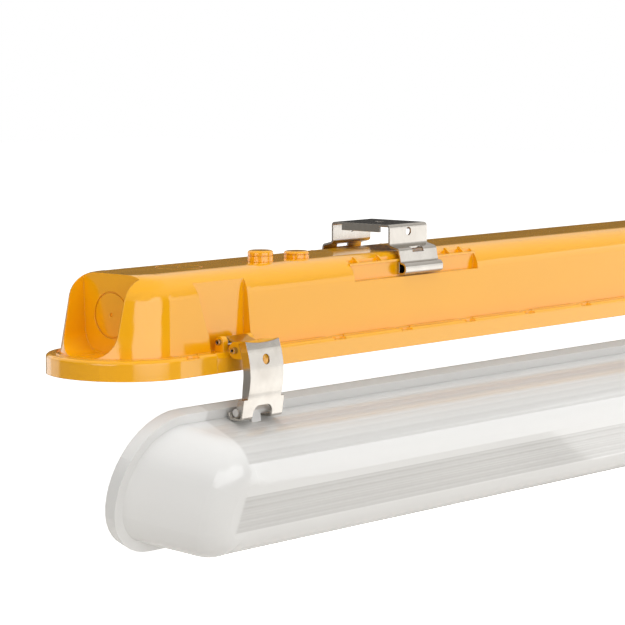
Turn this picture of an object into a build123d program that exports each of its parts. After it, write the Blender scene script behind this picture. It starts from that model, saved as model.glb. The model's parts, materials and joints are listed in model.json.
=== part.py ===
from build123d import *
import math
import os

os.makedirs("parts", exist_ok=True)

# Moulded body, in millimetres. Z is zero at the bottom of the rim while the pieces are made.
fixture_length = 1270.0
rim_width = 91.0
rim_height = 11.5
body_height = 57.5
end_arc_radius = 52.5
end_arc_angle = 21.7
wall = 2.2
rim_round = 2.2
body_inset = 8.0
body_side_draft = 4.7
body_end_rake = 4.3
shoulder_radius = 16.0
overrun = 5.0

# Rim channel that takes the gasket and the edge of the diffuser
skirt = 1.6
channel_width = 5.2
inner_rib = 1.8
gasket_height = 3.0
gasket_gap = 0.1

# Open scoop in each end, with the cable entry in its back wall
scoop_depth = 33.1
scoop_top_half = 22.6
scoop_bottom_half = 20.8
scoop_corner = 13.0
entry_height = 33.7
entry_radius = 13.1
entry_groove = 0.9
entry_groove_depth = 0.8
entry_dimple = 1.2

# Roof details near the left end: a cable entry and two screw caps
roof_entry_x = 89.0
roof_entry_radius = 13.6
cap_radius = 7.7
cap_y = -10.5
tall_cap_x = 149.0
low_cap_x = 182.0
tall_cap_height = 6.8
low_cap_height = 4.4
cap_step = 0.6
cap_round = 1.6
cap_stem_radius = 4.0
cap_stem_length = 7.0
cap_fit = 0.05
cap_seam = 0.5

# Ledge notches and the thin bead beside them
notch_pitch = 64.67
notch_first_x = 53.0
notch_radius = 5.5
notch_depth = 1.4
bead_inset = 5.2
bead_width = 0.8
bead_height = 0.6
bead_gap = 9.0

# Latches: three a side, seen from the left end, and the bay that each stands in
latch_end_x = 94.0
bay_y = 30.9
bay_inner_half = 17.0
bay_outer_foot = 18.0
bay_outer_top = 29.0
bay_slant_z = 18.0
pocket_left = 21.0
pocket_right = 18.0
pocket_foot = 0.3
pocket_waist = 0.9
pocket_waist_z = 8.5
pocket_top = 2.5

# Hinge A, fixed in the body, and hinge B, at the free end of the link, with the latch open
hinge_a_y = 39.5
hinge_a_z = 17.0
hinge_b_y = 51.0
hinge_b_z = 13.0
pin_a_radius = 1.75
pin_b_radius = 1.9
pin_bore = 0.9
pin_length = 30.0
pin_clearance = 0.05
lug_near = 9.2
lug_thickness = 4.2
lug_radius = 3.3
sheet = 1.2
link_half_width = 8.7

# Clip: the curved steel plate and the moulded block at its head
clip_half_width = 14.3
clip_foot_half_width = 17.4
clip_top_z = 18.8
clip_top_y = 59.6
clip_bulge_y = 65.2
clip_bulge_z = 1.5
clip_knee_y = 61.2
clip_knee_z = -14.5
clip_foot_y = 59.4
clip_curve = 45.0
clip_knee_curve = 20.0
clip_flange = 4.4
clip_foot_flange = 3.4
clip_top_sag = 1.4
clip_taper = 8.0
clip_taper_out = 1.7
clip_hole_z = 8.0
clip_hole_radius = 3.0
arch_half_width = 8.2
arch_top_z = -18.6
arch_round = 5.0
block_half_width = 12.4
block_radius = 4.9
block_rise = 5.6
block_web = 3.6
cheek_gap = 0.2

# Hook at the foot of the clip and the lug of the diffuser that hangs in it
lug_axis_in = 1.5
lug_axis_below = 12.5
lug_barrel_radius = 2.3
lug_barrel_half = 15.0
lug_rib_half = 4.0
lug_foot = 5.0
hook_gap = 0.4
hook_tip = 0.5
hook_bend = 0.9

# Diffuser: rim, flange and dome, and how it hangs when open
diffuser_gap = 0.3
nest_depth = 6.0
diffuser_rim_height = 8.0
diffuser_rim_wall = 3.2
diffuser_flange = 1.7
diffuser_wall = 2.0
diffuser_floor = 1.6
dome_inset = 8.0
dome_side_draft = 2.0
dome_end_rake = 32.0
dome_depth = 51.0
dome_radius = 22.0
open_edge_y = 42.3
open_edge_z = -17.0
open_lean = 19.8

# Ceiling brackets and the recess that each grips
bracket_spacing = 721.0
bracket_width = 37.5
bracket_top_z = 74.0
bracket_leg_y = 23.8
bracket_shoulder_z = 61.2
bracket_shelf_y = 31.2
bracket_shelf_z = 59.4
bracket_drop_y = 33.0
bracket_drop_z = 50.9
bracket_roll_y = 37.0
bracket_roll_z = 43.1
bracket_roll_drop = 0.5
bracket_tongue_y = 30.4
bracket_tongue_z = 51.2
bracket_bend = 2.4
bracket_roll_radius = 3.4
bracket_lip = 5.0
bracket_lip_half = 15.5
bracket_hole_radius = 2.6
bracket_hole_z = 69.2
bracket_slot_half = 5.6
bracket_slot_depth = 2.6
bracket_slide_in = 3.0
ceiling_hole_radius = 2.75
recess_half = 62.1
recess_bottom = 42.3
recess_y = 27.0
groove_y = 30.0
shelf_rib_y = 31.1
shelf_rib_z = 51.7
shelf_rib_height = 1.5
gusset_width = 1.6
gusset_shares = (-0.88, -0.51, 0.6, 0.83)
gusset_top = 56.6

# Gear tray and what it carries
tray_z = 2.6
tray_half_width = 33.0
tray_flange = 6.0
tray_bend = 1.6
tray_end_gap = 42.0
boss_xs_shares = (-0.37, -0.181, 0.181, 0.37)
boss_y = 18.5
boss_radius = 4.5
rib_thickness = 2.2
rib_band = 12.0
screw_radius = 1.8
screw_fit = 0.05
screw_head_radius = 3.8
screw_head_height = 1.8
screw_length = 12.0
screw_recess_radius = 1.5
screw_recess_depth = 1.0
board_thickness = 1.2
board_half_width = 13.0
board_length = 560.0
board_gap = 13.0
chip_pitch = 35.0
chip_size = 5.0
chip_height = 0.7
connector_length = 11.0
connector_width = 14.0
connector_height = 2.4
lead_seat = 1.5
driver_x = -175.0
driver_length = 270.0
driver_width = 26.0
driver_height = 21.0
driver_round = 2.0
driver_ear = 9.0
driver_ear_thickness = 1.2
driver_screw_length = 2.3
terminal_x = -420.0
terminal_length = 16.0
terminal_width = 46.0
terminal_height = 15.0
terminal_pitch = 9.0
terminal_hole_radius = 1.6
terminal_hole_z = 6.0
terminal_screw_radius = 2.0
terminal_well_depth = 6.0
terminal_screw_height = 3.0
terminal_slot = 0.8
terminal_poles = 5
earth_x = -384.0
earth_y = 22.0
tag_radius = 4.2
tag_thickness = 0.8
tag_barrel_radius = 1.7
tag_barrel_length = 5.0
lead_radius = 1.1
lead_entry = 4.0
lead_bend = 5.0
lead_exit_height = 10.0
lead_run = 12.0
lead_spacing = 4.0
grommet_radius = 6.0
grommet_bore = 4.4
grommet_lip = 1.2

# Longer than anything a cut has to pass
overrun_long = 60.0

# Worked out from the sizes above
half_length = fixture_length / 2
half_width = rim_width / 2
arc_sine = math.sin(math.radians(end_arc_angle))
arc_cosine = math.cos(math.radians(end_arc_angle))
corner_radius = (half_width - end_arc_radius * arc_sine) / (1 - arc_sine)
channel_roof = rim_height - wall
channel_inset = skirt + channel_width
ceiling_z = bracket_top_z
latch_xs = (latch_end_x - half_length, 0, half_length - latch_end_x)
latch_names = ("left", "middle", "right")
latch_flips = (1, 1, -1)
bracket_xs = (-bracket_spacing / 2, bracket_spacing / 2)
recess_xs = (bracket_xs[0] - bracket_slide_in, bracket_xs[1] + bracket_slide_in)
diffuser_edge = half_width - skirt - diffuser_gap

# Hook axis with the diffuser shut, and with it hanging open
shut_hook = (diffuser_edge - lug_axis_in, nest_depth - lug_axis_below)
lean_sine = math.sin(math.radians(open_lean))
lean_cosine = math.cos(math.radians(open_lean))
open_hook = (
    open_edge_y - lug_axis_in * lean_sine + lug_axis_below * lean_cosine,
    open_edge_z - lug_axis_in * lean_cosine - lug_axis_below * lean_sine,
)


def angle_of(start, end):
    """Angle in degrees of the line from start to end, both given as (y out from the middle, z)."""
    return math.degrees(math.atan2(end[1] - start[1], end[0] - start[0]))


def shut_hinge_b():
    """Where hinge B lies with the latch shut: one link from A, one clip from the hook, inboard."""
    link = math.dist((hinge_a_y, hinge_a_z), (hinge_b_y, hinge_b_z))
    reach = math.dist((hinge_b_y, hinge_b_z), open_hook)
    span = math.dist((hinge_a_y, hinge_a_z), shut_hook)
    share = (span * span + link * link - reach * reach) / (2 * span * link)
    turn = math.acos(max(-1.0, min(1.0, share)))
    toward = math.radians(angle_of((hinge_a_y, hinge_a_z), shut_hook)) - turn
    return hinge_a_y + link * math.cos(toward), hinge_a_z + link * math.sin(toward)


hinge_a = (hinge_a_y, hinge_a_z)
hinge_b = (hinge_b_y, hinge_b_z)
shut_b = shut_hinge_b()
link_turn = (angle_of(hinge_a, shut_b) - angle_of(hinge_a, hinge_b)) % 360
clip_turn = angle_of(shut_b, shut_hook) - angle_of(hinge_b, open_hook)
diffuser_turn = 90.0 - open_lean
tray_top = tray_z + sheet
driver_reach = driver_length / 2 + driver_ear / 2
driver_screw_xs = (driver_x - driver_reach, driver_x + driver_reach)
pole_ys = [(step - (terminal_poles - 1) / 2) * terminal_pitch for step in range(terminal_poles)]
mains_ys = (-lead_spacing, lead_spacing)


def outline(inset, z=0.0, end_shift=0.0):
    """Plan of the fixture as a face at a height, drawn in by an inset; the ends may come in further."""
    arc_x = half_length - end_arc_radius - end_shift
    corner_x = arc_x + (end_arc_radius - corner_radius) * arc_cosine
    corner_y = (end_arc_radius - corner_radius) * arc_sine
    end_r = end_arc_radius - inset
    corner_r = corner_radius - inset
    half_angle = math.radians(end_arc_angle + 90) / 2
    tip = Vector(arc_x + end_r * arc_cosine, end_r * arc_sine)
    middle = Vector(corner_x + corner_r * math.cos(half_angle), corner_y + corner_r * math.sin(half_angle))
    side = Vector(corner_x, corner_y + corner_r)
    edges = []
    for s in (1, -1):
        edges.append(ThreePointArc((s * tip.X, -s * tip.Y), (s * (arc_x + end_r), 0), (s * tip.X, s * tip.Y)))
        edges.append(
            ThreePointArc((s * tip.X, s * tip.Y), (s * middle.X, s * middle.Y), (s * side.X, s * side.Y))
        )
        edges.append(Line((s * side.X, s * side.Y), (-s * side.X, s * side.Y)))
        edges.append(
            ThreePointArc((-s * side.X, s * side.Y), (-s * middle.X, s * middle.Y), (-s * tip.X, s * tip.Y))
        )
    return Pos(0, 0, z) * make_face(Curve() + edges)


def ring(outer_inset, inner_inset, low, high):
    """Band that follows the plan of the fixture between two insets and two heights."""
    return extrude(outline(outer_inset, low) - outline(inner_inset, low), high - low)


def tub(base_inset, base_z, top_inset, top_z, end_shift, radius):
    """Long tub with leaning sides, closed and rounded at the top end of the two heights."""
    solid = loft([outline(base_inset, base_z), outline(top_inset, top_z, end_shift)], ruled=True)
    faces = solid.faces().sort_by(Axis.Z)
    if top_z > base_z:
        flat = faces[-1]
    else:
        flat = faces[0]
    return fillet(flat.edges(), radius)


def across(points, low_x, high_x):
    """Prism along X from a cross-section given as (y, z) points."""
    face = make_face(Polyline(*points, close=True))
    return Pos(low_x, 0, 0) * extrude(Plane.YZ * face, high_x - low_x)


def along_y(points, low_y, high_y):
    """Prism along Y from an outline given as (x, z) points."""
    face = make_face(Polyline(*[(x, z) for x, z in points], close=True))
    upright = Plane(origin=(0, low_y, 0), x_dir=(1, 0, 0), z_dir=(0, -1, 0))
    return extrude(upright * face, -(high_y - low_y))


def block(low, high):
    """Box between two opposite corners."""
    size = [b - a for a, b in zip(low, high)]
    return Pos(*low) * Box(*size, align=(Align.MIN, Align.MIN, Align.MIN))


def rod(radius, low_x, high_x, y, z):
    """Cylinder along X."""
    turned = Location((low_x, y, z), (0, 90, 0))
    return turned * Cylinder(radius, high_x - low_x, align=(Align.CENTER, Align.CENTER, Align.MIN))


def post(radius, x, y, low_z, high_z):
    """Cylinder along Z."""
    return Pos(x, y, low_z) * Cylinder(radius, high_z - low_z, align=(Align.CENTER, Align.CENTER, Align.MIN))


def strip(points, bends, thickness, half_width, side=Side.RIGHT):
    """Bent sheet: a path of (y, z) corners rounded by the bends, given a thickness to one side."""
    path = FilletPolyline(*points, radius=bends)
    face = make_face(offset(path, amount=thickness, side=side, closed=True).edges())
    return extrude(Plane.YZ * face, half_width, both=True)


def turned_about(shape, start, angle, end):
    """A shape turned in the YZ plane about a start point, which then comes to an end point."""
    return Pos(0, *end) * Rot(angle, 0, 0) * Pos(0, -start[0], -start[1]) * shape


def both_sides(shape):
    """A shape and its mirror image on the other side of the fixture."""
    return shape + mirror(shape, about=Plane.XZ)


def both_ends(shape):
    """A shape and its mirror image at the other end of the fixture."""
    return shape + mirror(shape, about=Plane.YZ)


def scoop(grow=0.0):
    """Cutter for the open scoop in the left end, or for the space its wall takes."""
    low = rim_height - grow
    points = [
        (-scoop_top_half - grow, body_height + overrun),
        (-scoop_bottom_half - grow, low),
        (scoop_bottom_half + grow, low),
        (scoop_top_half + grow, body_height + overrun),
    ]
    solid = across(points, -half_length - overrun, -half_length + scoop_depth + grow)
    return fillet(solid.edges().filter_by(Axis.X).sort_by(Axis.Z)[:2], scoop_corner + grow)


def bay(flip, grow=0.0):
    """Cutter for the upright recess behind a latch, on the +Y side, at X zero."""
    low = rim_height - grow
    points = [
        (-bay_outer_foot - grow, low),
        (bay_inner_half + grow, low),
        (bay_inner_half + grow, body_height + overrun),
        (-bay_outer_top - grow, body_height + overrun),
        (-bay_outer_foot - grow, bay_slant_z - grow),
    ]
    points = [(flip * x, z) for x, z in points]
    return along_y(points, bay_y - grow, half_width + overrun)


def rim_pocket(flip):
    """Cutter that hollows the outer face of the rim below a latch, on the +Y side, at X zero."""
    points = [
        (half_width - pocket_foot, -overrun),
        (half_width - pocket_foot, 0),
        (half_width - pocket_waist, pocket_waist_z),
        (half_width - pocket_top, rim_height),
        (half_width - pocket_top, rim_height + overrun),
        (half_width + overrun, rim_height + overrun),
        (half_width + overrun, -overrun),
    ]
    if flip > 0:
        return across(points, -pocket_left, pocket_right)
    return across(points, -pocket_right, pocket_left)


def lug_pair():
    """Two lugs that stand on the ledge and carry the fixed pin of a latch, on the +Y side."""
    foot = rim_height - wall / 2
    head = Plane.YZ * Pos(hinge_a_y, hinge_a_z) * Circle(lug_radius)
    stem = Plane.YZ * Pos(hinge_a_y, foot) * Rectangle(
        lug_radius * 2, hinge_a_z - foot, align=(Align.CENTER, Align.MIN)
    )
    lug = Pos(lug_near, 0, 0) * extrude(head + stem, lug_thickness)
    bore = rod(pin_a_radius + pin_clearance, -pin_length, pin_length, hinge_a_y, hinge_a_z)
    return both_ends(lug) - bore


def bracket_recess(centre, grow=0.0):
    """Cutter for the recess in the shoulder that a ceiling bracket grips, on the +Y side."""
    low_x = centre - recess_half - grow
    high_x = centre + recess_half + grow
    upper = block(
        (low_x, recess_y - grow, shelf_rib_z - grow), (high_x, half_width, body_height + overrun)
    )
    groove = block(
        (low_x, groove_y - grow, recess_bottom - grow), (high_x, half_width, body_height + overrun)
    )
    return upper + groove


def shelf_rib(centre, flip):
    """Long rib in the bracket recess with the gussets above it, on the +Y side."""
    top = shelf_rib_z + shelf_rib_height
    root = recess_y - wall / 2
    reach = recess_half + wall / 2
    solid = block((centre - reach, root, shelf_rib_z), (centre + reach, shelf_rib_y, top))
    for share in gusset_shares:
        x = centre + flip * share * recess_half
        points = [(root, shelf_rib_z), (shelf_rib_y, shelf_rib_z), (shelf_rib_y, top), (recess_y, gusset_top)]
        points.append((root, gusset_top))
        solid += across(points, x - gusset_width / 2, x + gusset_width / 2)
    return solid


def entry_mark(radius):
    """Ring groove and dimple of a closed cable entry, cut down from Z zero."""
    outer = Cylinder(radius + entry_groove / 2, entry_groove_depth * 2)
    inner = Cylinder(radius - entry_groove / 2, entry_groove_depth * 2)
    return outer - inner + Cylinder(entry_dimple, entry_groove_depth * 2)


def notch_places():
    """X of each ledge notch that does not fall in a latch pocket."""
    places = []
    x = notch_first_x - half_length
    while x < half_length - notch_first_x + notch_radius:
        if min(abs(x - latch) for latch in latch_xs) > pocket_left + notch_radius:
            places.append(x)
        x += notch_pitch
    return places


def ledge_bead():
    """Thin bead along the ledge, broken beside each notch and at each latch."""
    bead = ring(bead_inset, bead_inset + bead_width, rim_height - bead_height, rim_height + bead_height)
    for x in notch_places():
        low = (x - notch_radius, -half_width, rim_height - overrun)
        bead -= block(low, (x + bead_gap, half_width, rim_height + overrun))
    for x in latch_xs:
        low = (x - pocket_left, -half_width, rim_height - overrun)
        bead -= block(low, (x + pocket_left, half_width, rim_height + overrun))
    return bead


def recesses(grow=0.0):
    """Every recess of the body's outside, grown by a wall when they shape the inside."""
    cutter = both_ends(scoop(grow))
    for x, flip in zip(latch_xs, latch_flips):
        cutter += both_sides(Pos(x, 0, 0) * bay(flip, grow))
    for x in recess_xs:
        cutter += both_sides(bracket_recess(x, grow))
    return cutter


def gear_bosses():
    """Posts and cross ribs under the roof that take the screws of the gear tray."""
    solid = None
    roof = body_height - wall / 2
    for share in boss_xs_shares:
        x = share * fixture_length
        rib = block(
            (x - rib_thickness / 2, -boss_y, roof - rib_band), (x + rib_thickness / 2, boss_y, roof)
        )
        solid = rib if solid is None else solid + rib
        for y in (-boss_y, boss_y):
            solid += post(boss_radius, x, y, tray_top, roof)
            solid -= post(screw_radius + screw_fit, x, y, tray_top - overrun, tray_top + screw_length)
    return solid


def housing():
    """Moulded body: rim, ledge, roof, recesses, pin lugs and gear bosses."""
    rim = fillet(extrude(outline(0), rim_height).faces().sort_by(Axis.Z)[-1].edges(), rim_round)
    top_inset = body_inset + body_side_draft
    body = tub(body_inset, rim_height - wall / 2, top_inset, body_height, body_end_rake, shoulder_radius)
    solid = rim + body
    for x in notch_places():
        for y in (-half_width, half_width):
            solid -= post(notch_radius, x, y, rim_height - notch_depth, rim_height + overrun)
    solid -= recesses()
    for x, flip in zip(latch_xs, latch_flips):
        solid -= both_sides(Pos(x, 0, 0) * rim_pocket(flip))
    solid += ledge_bead()
    hollow = tub(
        body_inset + wall, channel_roof - wall / 2, top_inset + wall, body_height - wall, body_end_rake,
        shoulder_radius - wall,
    )
    hollow -= recesses(wall)
    hollow += extrude(outline(channel_inset + inner_rib, -overrun), channel_roof + overrun)
    hollow += ring(skirt, channel_inset, -overrun, channel_roof)
    solid -= hollow
    for x in latch_xs:
        solid += both_sides(Pos(x, 0, 0) * lug_pair())
    for x, flip in zip(recess_xs, (1, -1)):
        solid += both_sides(shelf_rib(x, flip))
    solid += gear_bosses()
    end_mark = Location((-half_length + scoop_depth, 0, entry_height), (0, 90, 0)) * entry_mark(entry_radius)
    solid -= both_ends(end_mark)
    solid -= Pos(roof_entry_x - half_length, 0, body_height) * entry_mark(roof_entry_radius)
    for x in (tall_cap_x, low_cap_x):
        low = body_height - overrun
        hole = post(cap_stem_radius + cap_fit, x - half_length, cap_y, low, body_height + overrun)
        solid -= hole
    return solid


def gasket():
    """Foam ring that fills the roof of the rim channel."""
    return ring(skirt + gasket_gap, channel_inset - gasket_gap, channel_roof - gasket_height, channel_roof)


def cap(height):
    """Blanking cap with a seam line and a stem that plugs its hole in the roof."""
    head = post(cap_radius, 0, 0, 0, height)
    head = fillet(head.faces().sort_by(Axis.Z)[-1].edges(), cap_round)
    seam = post(cap_radius + overrun, 0, 0, height / 2, height / 2 + cap_seam)
    seam -= post(cap_radius - cap_seam, 0, 0, 0, height)
    stem = post(cap_stem_radius, 0, 0, -cap_stem_length, height / 2)
    return head - seam + stem


def pin(radius):
    """Rolled hollow pin along X through the origin."""
    return rod(radius, -pin_length / 2, pin_length / 2, 0, 0) - rod(pin_bore, -pin_length, pin_length, 0, 0)


def link():
    """Steel link with a rolled eye at each end, in its open place, on the +Y side."""
    span = math.dist(hinge_a, hinge_b)
    eye_out_a = pin_a_radius + pin_clearance + sheet
    eye_out_b = pin_b_radius + pin_clearance + sheet
    eyes = Circle(eye_out_a) + Pos(span, 0) * Circle(eye_out_b)
    bar = Pos(0, eye_out_a - sheet) * Rectangle(span, sheet, align=(Align.MIN, Align.MIN))
    bore_b = Pos(span, 0) * Circle(pin_b_radius + pin_clearance)
    face = eyes + bar - Circle(pin_a_radius + pin_clearance) - bore_b
    solid = extrude(Plane.YZ * face, link_half_width, both=True)
    return turned_about(solid, (0, 0), angle_of(hinge_a, hinge_b), hinge_a)


def clip_path():
    """Inner face of the clip plate as (y, z) corners, with the bend at each."""
    hook_y = open_hook[0]
    hook_z = open_hook[1]
    reach = lug_barrel_radius + hook_gap
    corners = [
        (clip_top_y, clip_top_z),
        (clip_bulge_y, clip_bulge_z),
        (clip_knee_y, clip_knee_z),
        (clip_foot_y, hook_z - reach),
        (hook_y - reach, hook_z - reach),
        (hook_y - reach, hook_z + hook_tip),
    ]
    return corners, (clip_curve, clip_curve, hook_bend, reach)


def clip_edge(low_z, high_z, reach, near_x, far_x):
    """Turned-back edge of the clip plate between two heights and two places across it."""
    corners, bends = clip_path()
    edge = strip(corners[:4], bends[:2], reach, far_x)
    edge -= strip(corners[:4], bends[:2], reach + overrun, near_x)
    return edge & block((-far_x, 0, low_z), (far_x, half_length, high_z))


def clip_plate():
    """Curved steel plate of a clip with turned-back edges and the split hook, on the +Y side, open."""
    corners, bends = clip_path()
    plate = strip(corners, bends, sheet, clip_foot_half_width, Side.LEFT)
    for x in (-clip_foot_half_width - overrun, clip_half_width):
        low = (x, 0, clip_knee_z)
        plate -= block(low, (x + clip_foot_half_width + overrun - clip_half_width, half_length, body_height))
    near = clip_half_width - sheet
    plate += clip_edge(clip_knee_z, clip_top_z, clip_flange, near, clip_half_width)
    taper = [
        (clip_knee_y - clip_foot_flange, clip_knee_z - sheet),
        (clip_knee_y - clip_flange + clip_taper_out, clip_knee_z + clip_taper),
        (hinge_b_y, clip_knee_z + clip_taper),
        (hinge_b_y, clip_knee_z - sheet),
    ]
    plate -= across(taper, -clip_half_width, clip_half_width)
    foot_near = clip_foot_half_width - sheet
    foot_low = open_hook[1] + lug_barrel_radius
    plate += clip_edge(foot_low, clip_knee_z, clip_foot_flange, foot_near, clip_foot_half_width)
    plate += clip_edge(clip_knee_z - sheet, clip_knee_z, clip_foot_flange, near, clip_foot_half_width)
    sag_radius = (clip_half_width * clip_half_width / clip_top_sag + clip_top_sag) / 2
    sag = Location((0, 0, clip_top_z - clip_top_sag + sag_radius), (90, 0, 0))
    plate -= sag * Cylinder(sag_radius, half_length)
    plate -= Location((0, 0, clip_hole_z), (90, 0, 0)) * Cylinder(clip_hole_radius, half_length)
    arch = block((-arch_half_width, 0, -body_height), (arch_half_width, half_length, arch_top_z))
    arch = fillet(arch.edges().filter_by(Axis.Y).sort_by(Axis.Z)[-2:], arch_round)
    return plate - arch


def clip_block():
    """Moulded block at the head of a clip: two cheeks round hinge B and a web, on the +Y side, open."""
    corners, bends = clip_path()
    reach = clip_bulge_y - hinge_b_y
    points = [
        (hinge_b_y, hinge_b_z - block_radius),
        (clip_bulge_y, hinge_b_z - block_radius),
        (clip_bulge_y, hinge_b_z + block_rise),
        (clip_top_y, hinge_b_z + block_rise),
        (hinge_b_y, hinge_b_z + block_radius),
    ]
    solid = across(points, -block_half_width, block_half_width)
    solid += rod(block_radius, -block_half_width, block_half_width, hinge_b_y, hinge_b_z)
    solid -= strip(corners[:3], bends[:1], reach, block_half_width + overrun, Side.LEFT)
    gap = link_half_width + cheek_gap
    low = (-gap, hinge_b_y - block_radius - overrun, hinge_b_z - block_radius - overrun)
    solid -= block(low, (gap, hinge_b_y + block_web, hinge_b_z + block_rise + overrun))
    return solid - rod(pin_b_radius + pin_clearance, -pin_length, pin_length, hinge_b_y, hinge_b_z)


def hook_lug():
    """Lug of the diffuser that a hook goes round: a rib with a crosswise barrel, on the +Y side, shut."""
    hook_y = shut_hook[0]
    hook_z = shut_hook[1]
    low = nest_depth - diffuser_rim_height
    root = half_width - dome_inset - diffuser_wall / 2
    points = [
        (root, low + diffuser_flange / 2),
        (diffuser_edge - lug_axis_in, low + diffuser_flange / 2),
        (hook_y + lug_barrel_radius, hook_z),
        (hook_y, hook_z - lug_barrel_radius),
        (root, hook_z - lug_foot),
    ]
    rib = across(points, -lug_rib_half, lug_rib_half)
    return rib + rod(lug_barrel_radius, -lug_barrel_half, lug_barrel_half, hook_y, hook_z)


def diffuser_shut():
    """Diffuser as it sits when the fixture is shut: rim, flange, dome, inner ribs and six hook lugs."""
    top = nest_depth
    low = top - diffuser_rim_height
    edge = half_width - diffuser_edge
    floor = top - dome_depth
    deep_inset = dome_inset + dome_side_draft
    rim = ring(edge, edge + diffuser_rim_wall, low, top)
    rim += ring(edge, dome_inset + diffuser_wall, low, low + diffuser_flange)
    dome = tub(dome_inset, low, deep_inset, floor, dome_end_rake, dome_radius)
    dome -= tub(
        dome_inset + diffuser_wall, low, deep_inset + diffuser_wall, floor + diffuser_floor, dome_end_rake,
        dome_radius - diffuser_wall,
    )
    solid = rim + dome
    for x in latch_xs:
        solid += both_sides(Pos(x, 0, 0) * hook_lug())
    return solid


def diffuser():
    """Diffuser hanging open from the hooks of the front clips."""
    return mirror(turned_about(diffuser_shut(), shut_hook, diffuser_turn, open_hook), about=Plane.XZ)


def bracket():
    """Spring steel ceiling bracket: top plate, legs, stepped arms and rolled grips, at X zero."""
    arm = [
        (bracket_leg_y, bracket_top_z),
        (bracket_leg_y, bracket_shoulder_z),
        (bracket_shelf_y, bracket_shelf_z),
        (bracket_drop_y, bracket_drop_z),
        (bracket_roll_y, bracket_drop_z - bracket_roll_drop),
        (bracket_roll_y, bracket_roll_z),
        (bracket_tongue_y, bracket_roll_z),
        (bracket_tongue_y, bracket_tongue_z),
    ]
    bends = [bracket_bend, bracket_bend - sheet, bracket_bend, bracket_bend / 3]
    bends += [bracket_roll_radius, bracket_roll_radius, bracket_bend / 3 * 2]
    path = [(-y, z) for y, z in reversed(arm)] + arm
    solid = strip(path, bends[::-1] + bends, sheet, bracket_width / 2)
    hole = post(ceiling_hole_radius, 0, 0, bracket_top_z - overrun, bracket_top_z + overrun)
    solid -= hole
    solid -= Location((0, 0, bracket_hole_z), (90, 0, 0)) * Cylinder(bracket_hole_radius, half_width * 2)
    slot_low = bracket_shelf_z - bracket_slot_depth
    slot_near = bracket_shelf_y - bracket_slot_depth
    slot = block((-bracket_slot_half, slot_near, slot_low), (bracket_slot_half, half_width, bracket_top_z))
    solid -= both_sides(slot)
    lip = block(
        (bracket_width / 2 - sheet, -bracket_lip_half, bracket_top_z - bracket_lip),
        (bracket_width / 2, bracket_lip_half, bracket_top_z),
    )
    return solid + both_ends(lip)


def gear_tray():
    """Steel channel across the mouth of the body, with turned-up edges and its holes."""
    edge = tray_half_width
    top = tray_z + tray_flange
    corners = [(-edge, top), (-edge, tray_z), (edge, tray_z), (edge, top)]
    solid = strip(corners, (tray_bend, tray_bend), sheet, half_length - tray_end_gap, Side.LEFT)
    for share in boss_xs_shares:
        for y in (-boss_y, boss_y):
            solid -= post(screw_radius + screw_fit, share * fixture_length, y, 0, tray_top + overrun)
    for x in driver_screw_xs:
        solid -= post(screw_radius + screw_fit, x, 0, 0, tray_top + overrun)
    solid -= post(screw_radius + screw_fit, earth_x, earth_y, 0, tray_top + overrun)
    return solid - post(grommet_radius - grommet_lip, 0, 0, 0, tray_top + overrun)


def screw(length):
    """Pan-head screw along Z with its head below the origin and its shank above."""
    head = post(screw_head_radius, 0, 0, -screw_head_height, 0)
    head = fillet(head.faces().sort_by(Axis.Z)[0].edges(), screw_head_height / 3)
    head -= post(screw_recess_radius, 0, 0, -screw_head_height, screw_recess_depth - screw_head_height)
    return head + post(screw_radius, 0, 0, 0, length)


def tray_screws():
    """Screws that hold the gear tray to the posts of the body."""
    places = [(share * fixture_length, y) for share in boss_xs_shares for y in (-boss_y, boss_y)]
    return group([Pos(x, y, tray_z) * screw(screw_length - screw_fit) for x, y in places])


def led_boards():
    """Two long circuit boards under the gear tray."""
    reach = board_gap / 2
    low = tray_z - board_thickness
    board = block((reach, -board_half_width, low), (reach + board_length, board_half_width, tray_z))
    other = block((-reach - board_length, -board_half_width, low), (-reach, board_half_width, tray_z))
    return group([board, other])


def led_chips():
    """Row of light-emitting chips on the boards."""
    solids = []
    high = tray_z - board_thickness
    count = int(board_length / chip_pitch)
    margin = (board_length - (count - 1) * chip_pitch) / 2
    for step in range(count):
        x = board_gap / 2 + margin + step * chip_pitch
        for side in (-1, 1):
            low = (side * x - chip_size / 2, -chip_size / 2, high - chip_height)
            solids.append(block(low, (side * x + chip_size / 2, chip_size / 2, high)))
    return group(solids)


def board_connector():
    """Small plug between the two boards that takes the leads from the driver."""
    low = tray_z - connector_height
    solid = block(
        (-connector_length / 2, -connector_width / 2, low),
        (connector_length / 2, connector_width / 2, tray_z),
    )
    for y in (-lead_spacing / 2, lead_spacing / 2):
        solid -= post(lead_radius + screw_fit, 0, y, tray_z - lead_seat, tray_z + overrun)
    return solid


def grommet():
    """Rubber ring in the tray hole that the leads pass through."""
    bore = grommet_bore
    neck = grommet_radius - grommet_lip
    solid = post(neck, 0, 0, tray_z, tray_top)
    solid += post(grommet_radius, 0, 0, tray_top, tray_top + grommet_lip)
    return solid - post(bore, 0, 0, tray_z - overrun, tray_top + overrun)


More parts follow.
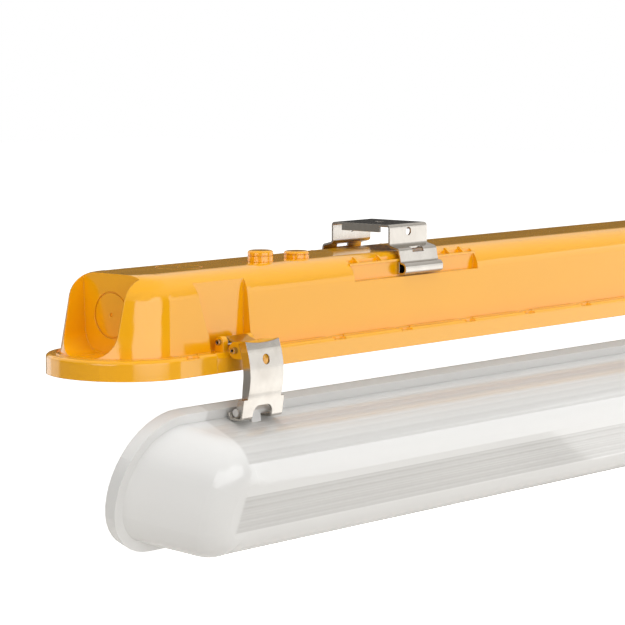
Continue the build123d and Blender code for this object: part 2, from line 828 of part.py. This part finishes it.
def led_driver():
    """Driver case with an ear at each end and the holes for its leads."""
    low = tray_top
    half = driver_length / 2
    case = block(
        (driver_x - half, -driver_width / 2, low), (driver_x + half, driver_width / 2, low + driver_height)
    )
    case = fillet(case.edges().filter_by(Axis.X).sort_by(Axis.Z)[-2:], driver_round)
    ears = block(
        (driver_x - half - driver_ear, -driver_width / 2, low),
        (driver_x + half + driver_ear, driver_width / 2, low + driver_ear_thickness),
    )
    solid = case + ears
    for x in driver_screw_xs:
        solid -= post(screw_radius + screw_fit, x, 0, low - overrun, low + overrun)
    height = low + lead_exit_height
    hole = lead_radius + screw_fit
    for y in mains_ys:
        solid -= rod(hole, driver_x - half - overrun, driver_x - half + lead_entry, y, height)
    for y in (-lead_spacing / 2, lead_spacing / 2):
        solid -= rod(hole, driver_x + half - lead_entry, driver_x + half + overrun, y, height)
    return solid


def driver_screws():
    """Two screws that hold the driver down, from above."""
    top = tray_top + driver_ear_thickness
    return group([Pos(x, 0, top) * Rot(180, 0, 0) * screw(driver_screw_length) for x in driver_screw_xs])


def terminal_block():
    """Terminal block with a screw well and a lead hole for each pole."""
    low = (terminal_x - terminal_length / 2, -terminal_width / 2, tray_top)
    high = (terminal_x + terminal_length / 2, terminal_width / 2, tray_top + terminal_height)
    solid = block(low, high)
    end = terminal_x + terminal_length
    for y in pole_ys:
        solid -= rod(terminal_hole_radius, terminal_x, end, y, tray_top + terminal_hole_z)
        well = tray_top + terminal_height - terminal_well_depth
        solid -= post(terminal_screw_radius + screw_fit, terminal_x, y, well, body_height)
    return solid


def terminal_screws():
    """Clamp screws of the terminal block."""
    solids = []
    low = tray_top + terminal_height - terminal_well_depth
    for y in pole_ys:
        head = post(terminal_screw_radius, terminal_x, y, low, low + terminal_screw_height)
        slot = block(
            (terminal_x - terminal_slot / 2, y - terminal_length, low + terminal_screw_height / 2),
            (terminal_x + terminal_slot / 2, y + terminal_length, body_height),
        )
        solids.append(head - slot)
    return group(solids)


def lead(points, radius=lead_radius):
    """Round insulated lead along a path of corners."""
    path = FilletPolyline(*points, radius=lead_bend)
    start = Plane(origin=path @ 0, z_dir=path % 0)
    return sweep(start * Circle(radius), path=path)


def mains_lead(index):
    """Lead from a pole of the terminal block down to the tray and along it to the driver."""
    start = terminal_x + terminal_length / 2 - lead_entry
    end = driver_x - driver_length / 2 + lead_entry - screw_fit
    y = mains_ys[index]
    high = tray_top + lead_exit_height
    entry = tray_top + terminal_hole_z
    points = [
        (start, pole_ys[index], entry),
        (start + lead_run, pole_ys[index], entry),
        (start + lead_run + lead_run, y, high),
        (end, y, high),
    ]
    return lead(points)


def earth_lead():
    """Lead from the earth pole of the terminal block to the tag on the tray."""
    start = terminal_x + terminal_length / 2 - lead_entry
    entry = tray_top + terminal_hole_z
    end = earth_x - tag_radius - tag_barrel_length / 2
    low = tray_top + tag_thickness + tag_barrel_radius
    points = [
        (start, pole_ys[-1], entry),
        (start + lead_entry + lead_entry, pole_ys[-1], entry),
        (end - lead_run / 2, earth_y, low),
        (end, earth_y, low),
    ]
    return lead(points)


def earth_tag():
    """Ring tag under the earth screw with the barrel that grips the earth lead."""
    solid = post(tag_radius, earth_x, earth_y, tray_top, tray_top + tag_thickness)
    near = earth_x - tag_radius
    low = tray_top + tag_thickness
    solid += block(
        (near - tag_barrel_length, earth_y - tag_barrel_radius, tray_top),
        (earth_x, earth_y + tag_barrel_radius, low),
    )
    far = near - tag_barrel_length
    axis_z = low + tag_barrel_radius
    solid += rod(tag_barrel_radius + screw_fit, far, near - screw_fit, earth_y, axis_z)
    solid -= rod(lead_radius, far, near - tag_barrel_length / 2, earth_y, axis_z)
    return solid - post(screw_radius + screw_fit, earth_x, earth_y, 0, body_height)


def led_lead(y):
    """Lead from the driver down through the tray to the plug between the boards."""
    high = tray_top + lead_exit_height
    start = driver_x + driver_length / 2 - lead_entry + screw_fit
    points = [(start, y, high), (0, y, high), (0, y, tray_z - lead_seat + screw_fit)]
    return lead(points)


def group(solids):
    """Several solids kept side by side in one piece."""
    return Compound(children=[Solid(s.solid().wrapped) for s in solids])


def front(shape):
    """The front copy of a shape made on the +Y side."""
    return mirror(shape, about=Plane.XZ)


def export(shape, name):
    """Write one piece with its heights measured from the ceiling."""
    export_step(Pos(0, 0, -ceiling_z) * shape, os.path.join("parts", name + ".step"))


def main():
    """Make every piece and write it."""
    export(housing(), "housing")
    export(gasket(), "gasket")
    export(Pos(tall_cap_x - half_length, cap_y, body_height) * cap(tall_cap_height), "cap_tall")
    export(Pos(low_cap_x - half_length, cap_y, body_height) * cap(low_cap_height), "cap_low")
    pins = [Pos(x, side * hinge_a_y, hinge_a_z) * pin(pin_a_radius) for x in latch_xs for side in (-1, 1)]
    export(group(pins), "hinge_pins")
    open_link = link()
    open_pin = Pos(0, *hinge_b) * pin(pin_b_radius)
    plate = clip_plate()
    head = clip_block()
    pieces = {"link": open_link, "clip_pin": open_pin}
    clips = {"clip_plate": plate, "clip_block": head}
    for x, name in zip(latch_xs, latch_names):
        for kind, shape in pieces.items():
            shut = turned_about(shape, hinge_a, link_turn, hinge_a)
            export(Pos(x, 0, 0) * front(shape), kind + "_front_" + name)
            export(Pos(x, 0, 0) * shut, kind + "_rear_" + name)
        for kind, shape in clips.items():
            shut = turned_about(shape, hinge_b, clip_turn, shut_b)
            export(Pos(x, 0, 0) * front(shape), kind + "_front_" + name)
            export(Pos(x, 0, 0) * shut, kind + "_rear_" + name)
    export(diffuser(), "diffuser")
    for x, name in zip(bracket_xs, ("left", "right")):
        export(Pos(x, 0, 0) * bracket(), "bracket_" + name)
    export(gear_tray(), "gear_tray")
    export(tray_screws(), "tray_screws")
    export(led_boards(), "led_boards")
    export(led_chips(), "led_chips")
    export(board_connector(), "board_connector")
    export(grommet(), "grommet")
    export(led_driver(), "led_driver")
    export(driver_screws(), "driver_screws")
    export(terminal_block(), "terminal_block")
    export(terminal_screws(), "terminal_screws")
    export(mains_lead(0), "lead_live")
    export(mains_lead(1), "lead_neutral")
    export(earth_lead(), "lead_earth")
    export(earth_tag(), "earth_tag")
    tag_top = tray_top + tag_thickness
    export(Pos(earth_x, earth_y, tag_top) * Rot(180, 0, 0) * screw(driver_screw_length), "earth_screw")
    export(led_lead(-lead_spacing / 2), "lead_led_minus")
    export(led_lead(lead_spacing / 2), "lead_led_plus")


main()
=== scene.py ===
import json
import math

import bpy
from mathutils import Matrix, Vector

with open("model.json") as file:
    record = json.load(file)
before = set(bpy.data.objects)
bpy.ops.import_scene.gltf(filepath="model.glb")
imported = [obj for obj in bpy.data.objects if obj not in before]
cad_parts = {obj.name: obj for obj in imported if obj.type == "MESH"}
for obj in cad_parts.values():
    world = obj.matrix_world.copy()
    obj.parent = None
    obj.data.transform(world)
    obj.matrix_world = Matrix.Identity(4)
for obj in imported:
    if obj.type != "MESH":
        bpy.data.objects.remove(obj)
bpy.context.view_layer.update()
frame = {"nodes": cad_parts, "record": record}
nodes = frame["nodes"]

# Camera: the direction it stands in, the point it looks at, its distance and how far it sees, in
# metres. Its lens is the photograph's focal length in pixels on a 625 pixel frame, for a 36 mm sensor.
CAMERA_AZIMUTH = math.radians(-49.395)
CAMERA_ELEVATION = math.radians(6.054)
CAMERA_TARGET = Vector((-0.42577, 0.0, -0.0529))
CAMERA_DISTANCE = 1.6629
CAMERA_REACH = 50.0
FOCAL_PIXELS = 2680.486
FRAME_PIXELS = 625
SENSOR_MM = 36.0

# The soft boxes aim at this place along the part, in metres from its middle.
SOFTBOX_AIM_X = -0.5

WHITE = (1.0, 1.0, 1.0, 1.0)


def add_camera():
    """The camera at the photograph's viewpoint."""
    back = Vector((
        math.sin(CAMERA_AZIMUTH) * math.cos(CAMERA_ELEVATION),
        -math.cos(CAMERA_AZIMUTH) * math.cos(CAMERA_ELEVATION),
        math.sin(CAMERA_ELEVATION),
    ))
    data = bpy.data.cameras.new("camera")
    data.sensor_width = SENSOR_MM
    data.lens = FOCAL_PIXELS * SENSOR_MM / FRAME_PIXELS
    data.clip_end = CAMERA_REACH
    camera = bpy.data.objects.new("camera", data)
    bpy.context.scene.collection.objects.link(camera)
    camera.location = CAMERA_TARGET + back * CAMERA_DISTANCE
    camera.rotation_euler = back.to_track_quat("Z", "Y").to_euler()
    bpy.context.scene.camera = camera


def add_area(name, place, target, size, power):
    """One soft light that faces a target. Its size is in metres and its power in watts."""
    data = bpy.data.lights.new(name, "AREA")
    data.shape = "RECTANGLE"
    data.size, data.size_y = size
    data.energy = power
    light = bpy.data.objects.new(name, data)
    bpy.context.scene.collection.objects.link(light)
    light.location = place
    light.rotation_euler = (Vector(place) - Vector(target)).to_track_quat("Z", "Y").to_euler()
    return light


def add_softbox(name, azimuth, distance, height, size, power):
    """A soft light that stands upright beside the object and faces it.

    Its azimuth is in degrees, counted as the camera's is. Its height is that of its middle."""
    turn = math.radians(azimuth)
    aim = Vector((SOFTBOX_AIM_X, 0.0, height))
    place = aim + distance * Vector((math.sin(turn), -math.cos(turn), 0.0))
    return add_area(name, place, aim, size, power)


# How patterns are scaled along x, y and z: a smaller number draws them out along that axis.
EVEN = (1.0, 1.0, 1.0)
FLOW_ALONG = (0.35, 1.0, 1.0)
SCUFFS_ALONG = (0.4, 1.0, 1.0)
WAVES_ALONG = (0.3, 1.0, 1.0)
DRAWN_ALONG = (0.1, 1.0, 1.0)
DRAWN_UP = (1.0, 1.0, 0.06)
# Radii of the softened edges of mouldings and of sheet steel, in metres.
MOULDED_EDGE = 0.0007
STEEL_EDGE = 0.0004


class Nodes:
    """Short way to build the node tree of one material."""

    def __init__(self, name):
        self.material = bpy.data.materials.new(name)
        self.material.use_nodes = True
        self.tree = self.material.node_tree
        self.shader = self.tree.nodes["Principled BSDF"]
        self.output = self.tree.nodes["Material Output"]

    def add(self, kind, **inputs):
        node = self.tree.nodes.new("ShaderNode" + kind)
        for key, value in inputs.items():
            node.inputs[key.replace("_", " ")].default_value = value
        return node

    def link(self, source, target):
        self.tree.links.new(source, target)

    def place(self, stretch=EVEN):
        """Object coordinates, stretched so that a pattern can run along an axis."""
        coordinates = self.add("TexCoord")
        mapping = self.add("Mapping", Scale=stretch)
        self.link(coordinates.outputs["Object"], mapping.inputs["Vector"])
        return mapping.outputs["Vector"]

    def noise(self, scale, detail=3.0, roughness=0.5, stretch=EVEN):
        """Cloudy noise from 0 to 1, with about as many waves in a metre as its scale says."""
        texture = self.add("TexNoise", Scale=scale, Detail=detail, Roughness=roughness)
        self.link(self.place(stretch), texture.inputs["Vector"])
        return texture.outputs["Fac"]

    def ramp(self, factor, stops):
        """Colour or grey steps across a factor, as (place, colour) pairs."""
        ramp = self.add("ValToRGB")
        while len(ramp.color_ramp.elements) < len(stops):
            ramp.color_ramp.elements.new(0.5)
        for element, (position, color) in zip(ramp.color_ramp.elements, stops):
            element.position = position
            if isinstance(color, (int, float)):
                color = (color, color, color)
            element.color = (*color, 1.0)
        self.link(factor, ramp.inputs["Fac"])
        return ramp.outputs["Color"]

    def math(self, operation, *values):
        """A Math node, whose inputs are sockets or plain numbers."""
        node = self.add("Math")
        node.operation = operation
        for index, value in enumerate(values):
            if isinstance(value, (int, float)):
                node.inputs[index].default_value = value
            else:
                self.link(value, node.inputs[index])
        return node.outputs["Value"]

    def smooth_step(self, value, start, end):
        """Rises smoothly from 0 at start to 1 at end."""
        node = self.add("MapRange", From_Min=start, From_Max=end)
        node.interpolation_type = "SMOOTHSTEP"
        self.link(value, node.inputs["Value"])
        return node.outputs["Result"]

    def rest(self, value):
        """What is left of 1."""
        return self.math("SUBTRACT", 1.0, value)

    def soft_edges(self, radius, samples):
        """A normal that rounds sharp edges by a radius in metres."""
        bevel = self.add("Bevel", Radius=radius)
        bevel.samples = samples
        return bevel.outputs["Normal"]

    def bump(self, height, strength, distance, normal=None):
        """A normal bent by a height, of which 1 stands for the distance in metres."""
        bump = self.add("Bump", Strength=strength, Distance=distance)
        self.link(height, bump.inputs["Height"])
        if normal is not None:
            self.link(normal, bump.inputs["Normal"])
        return bump.outputs["Normal"]

    def color(self, socket):
        self.link(socket, self.shader.inputs["Base Color"])

    def roughness(self, socket):
        self.link(socket, self.shader.inputs["Roughness"])

    def normal(self, socket):
        self.link(socket, self.shader.inputs["Normal"])

    def set(self, **values):
        for key, value in values.items():
            self.shader.inputs[key.replace("_", " ")].default_value = value


def moulded(name, dark, light, rough=(0.12, 0.18), wave=0.00014, coat=0.6):
    """Injection-moulded plastic: faint flow marks, a gloss skin that waves a little, soft edges."""
    m = Nodes(name)
    flow = m.noise(9.0, 4.0, 0.55, FLOW_ALONG)
    m.color(m.ramp(flow, [(0.3, dark), (0.7, light)]))
    scuffs = m.noise(60.0, 5.0, 0.6, SCUFFS_ALONG)
    m.roughness(m.ramp(scuffs, [(0.3, rough[0]), (0.75, rough[1])]))
    waves = m.noise(14.0, 1.5, 0.5, WAVES_ALONG)
    wide = m.bump(waves, 0.6, wave, m.soft_edges(MOULDED_EDGE, 8))
    m.normal(m.bump(m.noise(700.0, 2.0), 0.15, 0.00002, wide))
    m.set(Coat_Weight=coat, Coat_Roughness=0.09, IOR=1.5)
    return m.material


def rolled_steel(name, dark, light, along=DRAWN_UP, rough=(0.13, 0.2)):
    """Rolled spring steel: fine drawn lines, a cloudy tone and soft edges."""
    m = Nodes(name)
    cloud = m.noise(70.0, 4.0, 0.6)
    m.color(m.ramp(cloud, [(0.3, dark), (0.72, light)]))
    lines = m.noise(1500.0, 3.0, 0.6, along)
    m.roughness(m.ramp(lines, [(0.3, rough[0]), (0.75, rough[1])]))
    m.normal(m.bump(lines, 0.2, 0.00002, m.soft_edges(STEEL_EDGE, 4)))
    m.set(Metallic=1.0)
    return m.material


def plain_finish(name, dark, light, rough=(0.35, 0.5), metallic=0.0, scale=80.0, bump=0.00005):
    """Small-part finish with gentle changes of tone, and finer ones of gloss and surface."""
    m = Nodes(name)
    tone = m.noise(scale, 4.0, 0.55)
    m.color(m.ramp(tone, [(0.3, dark), (0.7, light)]))
    gloss = m.noise(scale * 3, 3.0)
    m.roughness(m.ramp(gloss, [(0.3, rough[0]), (0.7, rough[1])]))
    m.normal(m.bump(m.noise(scale * 9, 2.0), 0.4, bump))
    m.set(Metallic=metallic)
    return m.material


# Section of the shut diffuser, in metres: half of its flat floor, the level at which its side
# walls end in the floor's arcs, and the radius of those arcs.
FLOOR_HALF = 0.010557
WALL_FOOT = -0.0224
FLOOR_RADIUS = 0.024
# The hook's place in the open diffuser and in the shut one, across and up, and the turn between.
OPEN_HOOK = (0.0535545, -0.0966494)
SHUT_HOOK = (0.0421, -0.0065)
OPEN_TURN = math.radians(67.5)
# Least drop below the middles of the arcs, in metres. It holds the angle at a quarter turn up the
# side walls.
LEAST_DROP = 0.00001
# Where the plastic changes, as the start and the end of each smooth change, in metres. The two
# edges of the smooth strip and the ribs' end below the rim are counted round the section from the
# middle of the floor, and the ribs' end along the part from the part's middle.
STRIP = ((0.0112, 0.0118), (0.0292, 0.0300))
RIBS_TOP = (0.0655, 0.0665)
RIBS_END = (0.5735, 0.5765)
# Pitches of the two waves that make the ribs, in metres, and the share of each.
FINE_PITCH, FINE_SHARE = 0.0022, 0.35
BROAD_PITCH, BROAD_SHARE = 0.0044, 0.65
# Tone of the plastic from 0 to 1: its base and what clouds add to it, then painted light: a
# painted highlight on the strips, painted light and shade lines along the ribs and a painted
# highlight on the plain ends.
BASE_TONE = 0.50
CLOUD_TONE = 0.10
PAINTED_STRIP_HIGHLIGHT = 0.42
PAINTED_RIB_LIGHT_AND_SHADE = 0.07
PAINTED_END_HIGHLIGHT = 0.38
MILKY = [(0.0, (0.50, 0.49, 0.47)), (0.5, (0.67, 0.665, 0.65)), (1.0, (0.88, 0.88, 0.87))]


def round_section(m):
    """Distances round the diffuser's section from its floor's middle, and along it from its middle."""
    place = m.add("TexCoord")
    split = m.add("SeparateXYZ")
    m.link(place.outputs["Object"], split.inputs["Vector"])
    across = m.math("SUBTRACT", m.math("MULTIPLY", split.outputs["Y"], -1.0), OPEN_HOOK[0])
    up = m.math("SUBTRACT", split.outputs["Z"], OPEN_HOOK[1])
    cos, sin = math.cos(OPEN_TURN), math.sin(OPEN_TURN)
    wide = m.math("MULTIPLY_ADD", up, sin, m.math("MULTIPLY_ADD", across, cos, SHUT_HOOK[0]))
    deep = m.math("MULTIPLY_ADD", up, cos, m.math("MULTIPLY_ADD", across, -sin, SHUT_HOOK[1]))
    side = m.math("ABSOLUTE", wide)
    run = m.math("MAXIMUM", m.math("SUBTRACT", side, FLOOR_HALF), 0.0)
    drop = m.math("MAXIMUM", m.math("SUBTRACT", WALL_FOOT, deep), LEAST_DROP)
    arc = m.math("MULTIPLY", m.math("ARCTAN2", run, drop), FLOOR_RADIUS)
    wall = m.math("MAXIMUM", m.math("SUBTRACT", deep, WALL_FOOT), 0.0)
    flat = m.math("MINIMUM", side, FLOOR_HALF)
    return m.math("ADD", m.math("ADD", flat, arc), wall), m.math("ABSOLUTE", split.outputs["X"])


def clear_plastic(name):
    """Milky diffuser plastic: fine lengthwise ribs and smooth strips, under a gloss skin. Its tone
    holds painted light: a painted highlight on the strips and plain ends, and painted light and
    shade lines along the ribs.
    """
    m = Nodes(name)
    around, along = round_section(m)
    inner = m.rest(m.smooth_step(along, *RIBS_END))
    starts, ends = STRIP
    strip = m.math("MULTIPLY", m.smooth_step(around, *starts), m.rest(m.smooth_step(around, *ends)))
    strip = m.math("MULTIPLY", strip, inner)
    ribbed = m.math("MULTIPLY", m.rest(strip), inner)
    ribbed = m.math("MULTIPLY", ribbed, m.rest(m.smooth_step(around, *RIBS_TOP)))
    fine = m.math("SINE", m.math("MULTIPLY", around, math.tau / FINE_PITCH))
    broad = m.math("SINE", m.math("MULTIPLY", around, math.tau / BROAD_PITCH))
    wave = m.math("MULTIPLY_ADD", fine, FINE_SHARE, m.math("MULTIPLY", broad, BROAD_SHARE))
    wave = m.math("MULTIPLY", wave, ribbed)
    cloud = m.noise(14.0, 3.0, 0.5, WAVES_ALONG)
    tone = m.math("MULTIPLY_ADD", cloud, CLOUD_TONE, BASE_TONE)
    # Painted light: a painted highlight on the strips and plain ends, painted light and shade lines
    # along the ribs.
    for place, share in ((strip, PAINTED_STRIP_HIGHLIGHT), (wave, PAINTED_RIB_LIGHT_AND_SHADE), (m.rest(inner), PAINTED_END_HIGHLIGHT)):
        tone = m.math("ADD", tone, m.math("MULTIPLY", place, share))
    m.color(m.ramp(tone, MILKY))
    m.roughness(m.ramp(m.noise(40.0, 3.0), [(0.3, 0.30), (0.7, 0.38)]))
    m.normal(m.bump(wave, 0.5, 0.00025))
    m.set(Transmission_Weight=0.08, IOR=1.49, Coat_Weight=1.0, Coat_Roughness=0.05)
    return m.material


# Material name, darker and lighter tone of each moulded slot, then its range of roughness, the
# height of its waves in metres and its coat where they differ from the usual.
MOULDED = {
    "body": ("body_yellow", (0.93, 0.425, 0.0012), (0.97, 0.450, 0.002)),
    "cap": ("cap_yellow", (0.92, 0.415, 0.002), (0.96, 0.44, 0.004)),
    # The clip's yellow is the body's plastic made darker: painted shade.
    "clip_yellow": ("clip_yellow", (0.78, 0.36, 0.004), (0.82, 0.385, 0.006), (0.16, 0.24)),
    "white_plastic": ("white_plastic", (0.76, 0.76, 0.73), (0.80, 0.80, 0.77), (0.3, 0.4), 0.00005, 0.1),
    "driver": ("driver_case", (0.66, 0.68, 0.69), (0.72, 0.73, 0.74), (0.4, 0.55), 0.00005, 0.0),
}
# The same of each steel slot, then the way it is drawn where that differs.
STEEL = {
    "steel": ("clip_steel", (0.52, 0.485, 0.44), (0.60, 0.57, 0.525)),
    "pin_steel": ("pin_steel", (0.46, 0.43, 0.39), (0.54, 0.515, 0.475), DRAWN_ALONG),
}
# The same of each other slot, then roughness, metal, the scale of its pattern and the height of its
# bumps in metres where they differ.
PLAIN = {
    "gasket": ("gasket_foam", (0.62, 0.61, 0.58), (0.70, 0.69, 0.66), (0.8, 0.95), 0.0, 300.0, 0.0003),
    "tray": ("tray_enamel", (0.80, 0.80, 0.78), (0.84, 0.84, 0.82), (0.2, 0.32), 0.0, 30.0),
    "screw": ("screw_zinc", (0.50, 0.50, 0.50), (0.64, 0.64, 0.62), (0.25, 0.45), 1.0, 400.0),
    "board": ("board_white", (0.80, 0.81, 0.79), (0.85, 0.86, 0.84), (0.3, 0.45), 0.0, 60.0),
    "chip": ("chip_phosphor", (0.83, 0.62, 0.12), (0.90, 0.70, 0.18), (0.3, 0.5), 0.0, 500.0),
    "grommet": ("grommet_rubber", (0.012, 0.012, 0.012), (0.02, 0.02, 0.02), (0.55, 0.75)),
    "tin": ("tag_tin", (0.55, 0.53, 0.48), (0.66, 0.64, 0.58), (0.3, 0.45), 1.0, 300.0),
    "brass": ("screw_brass", (0.50, 0.34, 0.11), (0.62, 0.44, 0.17), (0.28, 0.45), 1.0, 300.0),
    "brown": ("lead_brown", (0.075, 0.028, 0.009), (0.10, 0.04, 0.014)),
    "blue": ("lead_blue", (0.010, 0.045, 0.28), (0.02, 0.07, 0.36)),
    "green": ("lead_green", (0.10, 0.30, 0.02), (0.16, 0.38, 0.03)),
    "red": ("lead_red", (0.36, 0.010, 0.006), (0.44, 0.018, 0.010)),
    "black": ("lead_black", (0.008, 0.008, 0.008), (0.016, 0.016, 0.016)),
}


def finishes():
    """Every material, by the name of the record's slot."""
    made = {"diffuser": clear_plastic("diffuser_clear")}
    for make, table in ((moulded, MOULDED), (rolled_steel, STEEL), (plain_finish, PLAIN)):
        for slot, values in table.items():
            made[slot] = make(*values)
    return made


def dress_nodes():
    """Gives every CAD node the finish of its slot."""
    made = finishes()
    for part in frame["record"]["subparts"]:
        for slot in nodes[part["node"]].material_slots:
            slot.material = made[part["material_slot"]]


# Floor: how far it reaches, its level, its colour, and the distances from the object between which
# it turns white, all in metres. The glows are shares of white: what the camera sees near the object
# and far from it, and what gloss sees far from it.
FLOOR_REACH = 20.0
FLOOR_LEVEL = -1.1
FLOOR_COLOR = (0.62, 0.60, 0.57, 1.0)
FLOOR_FADE = (1.5, 3.5)
NEAR_GLOW = 0.6
FAR_GLOW = 1.0
MIRRORED_GLOW = 0.1


def add_floor():
    """Plain pale floor. It turns white away from the object and can be looked through from below."""
    mesh = bpy.data.meshes.new("floor")
    signs = ((-1, -1), (1, -1), (1, 1), (-1, 1))
    corners = [(x * FLOOR_REACH, y * FLOOR_REACH, FLOOR_LEVEL) for x, y in signs]
    mesh.from_pydata(corners, [], [(0, 1, 2, 3)])
    floor = bpy.data.objects.new("floor", mesh)
    bpy.context.scene.collection.objects.link(floor)
    m = Nodes("floor_pale")
    m.set(Base_Color=FLOOR_COLOR, Roughness=0.9, Specular_IOR_Level=0.0, Emission_Color=WHITE)
    path = m.add("LightPath")
    away = m.add("VectorMath")
    away.operation = "LENGTH"
    m.link(m.place(), away.inputs[0])
    far = m.smooth_step(away.outputs["Value"], *FLOOR_FADE)
    seen = m.math("MAXIMUM", path.outputs["Is Camera Ray"], path.outputs["Is Transmission Ray"])
    glow = m.math("MULTIPLY", seen, m.math("MULTIPLY_ADD", far, FAR_GLOW - NEAR_GLOW, NEAR_GLOW))
    shine = m.math("MULTIPLY", path.outputs["Is Glossy Ray"], m.math("MULTIPLY", far, MIRRORED_GLOW))
    m.link(m.math("ADD", glow, shine), m.shader.inputs["Emission Strength"])
    side = m.add("NewGeometry")
    open_side = m.add("BsdfTransparent")
    one_way = m.add("MixShader")
    m.link(side.outputs["Backfacing"], one_way.inputs["Fac"])
    m.link(m.shader.outputs["BSDF"], one_way.inputs[1])
    m.link(open_side.outputs["BSDF"], one_way.inputs[2])
    m.link(one_way.outputs["Shader"], m.output.inputs["Surface"])
    mesh.materials.append(m.material)


# World: the fill's colour and strength, and the room that gloss sees: its grey at heights from
# level (0) to straight up (1), and its warm tint.
FILL_COLOR = (1.0, 0.98, 0.95, 1.0)
FILL_STRENGTH = 0.38
ROOM = ((0.0, 0.04), (0.2, 0.06), (0.36, 0.62), (0.65, 0.8), (1.0, 0.45))
ROOM_TINT = (1.0, 0.98, 0.95)


def add_world():
    """White behind the object, a dim room for gloss that grows bright overhead, and a little fill."""
    world = bpy.data.worlds.new("studio")
    bpy.context.scene.world = world
    world.use_nodes = True
    tree = world.node_tree
    link = tree.links.new

    def add(kind):
        return tree.nodes.new("ShaderNode" + kind)

    fill = tree.nodes["Background"]
    fill.inputs["Color"].default_value = FILL_COLOR
    fill.inputs["Strength"].default_value = FILL_STRENGTH
    path = add("LightPath")
    place = add("TexCoord")
    split = add("SeparateXYZ")
    link(place.outputs["Generated"], split.inputs["Vector"])
    ramp = add("ValToRGB")
    elements = ramp.color_ramp.elements
    while len(elements) < len(ROOM):
        elements.new(0.5)
    for element, (position, grey) in zip(elements, ROOM):
        element.position = position
        element.color = (*(grey * share for share in ROOM_TINT), 1.0)
    link(split.outputs["Z"], ramp.inputs["Fac"])
    room = add("Background")
    link(ramp.outputs["Color"], room.inputs["Color"])
    white = add("Background")
    white.inputs["Color"].default_value = WHITE
    gloss = add("MixShader")
    link(path.outputs["Is Glossy Ray"], gloss.inputs["Fac"])
    link(fill.outputs["Background"], gloss.inputs[1])
    link(room.outputs["Background"], gloss.inputs[2])
    seen = add("Math")
    seen.operation = "MAXIMUM"
    link(path.outputs["Is Camera Ray"], seen.inputs[0])
    link(path.outputs["Is Transmission Ray"], seen.inputs[1])
    mix = add("MixShader")
    link(seen.outputs["Value"], mix.inputs["Fac"])
    link(gloss.outputs["Shader"], mix.inputs[1])
    link(white.outputs["Background"], mix.inputs[2])
    link(mix.outputs["Shader"], tree.nodes["World Output"].inputs["Surface"])


# Upright soft boxes: azimuth in degrees, distance, height and size in metres, power in watts, and
# whether gloss shows them.
SOFTBOXES = {
    "box_right": (69.5, 1.9, -0.26, (2.24, 1.58), 14.5, True),
    "box_front": (-9.0, 2.6, 0.29, (2.94, 1.41), 30.0, True),
    "box_left": (-84.0, 2.6, 0.38, (1.84, 1.04), 15.0, True),
    "box_back": (182.0, 2.8, 0.31, (2.3, 1.8), 12.0, True),
    "fill_back": (150.0, 2.8, 0.5, (3.0, 2.0), 32.0, False),
}
# Other fills, which gloss never shows: place, target and size in metres, and power in watts.
FILLS = {
    "box_top": ((-0.45, 0.0, 2.35), (-0.45, 0.0, 0.0), (2.0, 2.0), 38.0),
    "fill_low": ((0.2, 1.2, -1.0), (0.0, 0.0, -0.1), (2.4, 0.8), 8.0),
}


def add_lights():
    """Four soft boxes that gloss shows, one of them behind the object, and three fills."""
    for name, (*values, mirrored) in SOFTBOXES.items():
        add_softbox(name, *values).visible_glossy = mirrored
    for name, values in FILLS.items():
        add_area(name, *values).visible_glossy = False


bpy.context.scene.view_settings.view_transform = "Standard"
add_camera()
add_floor()
add_world()
add_lights()
dress_nodes()
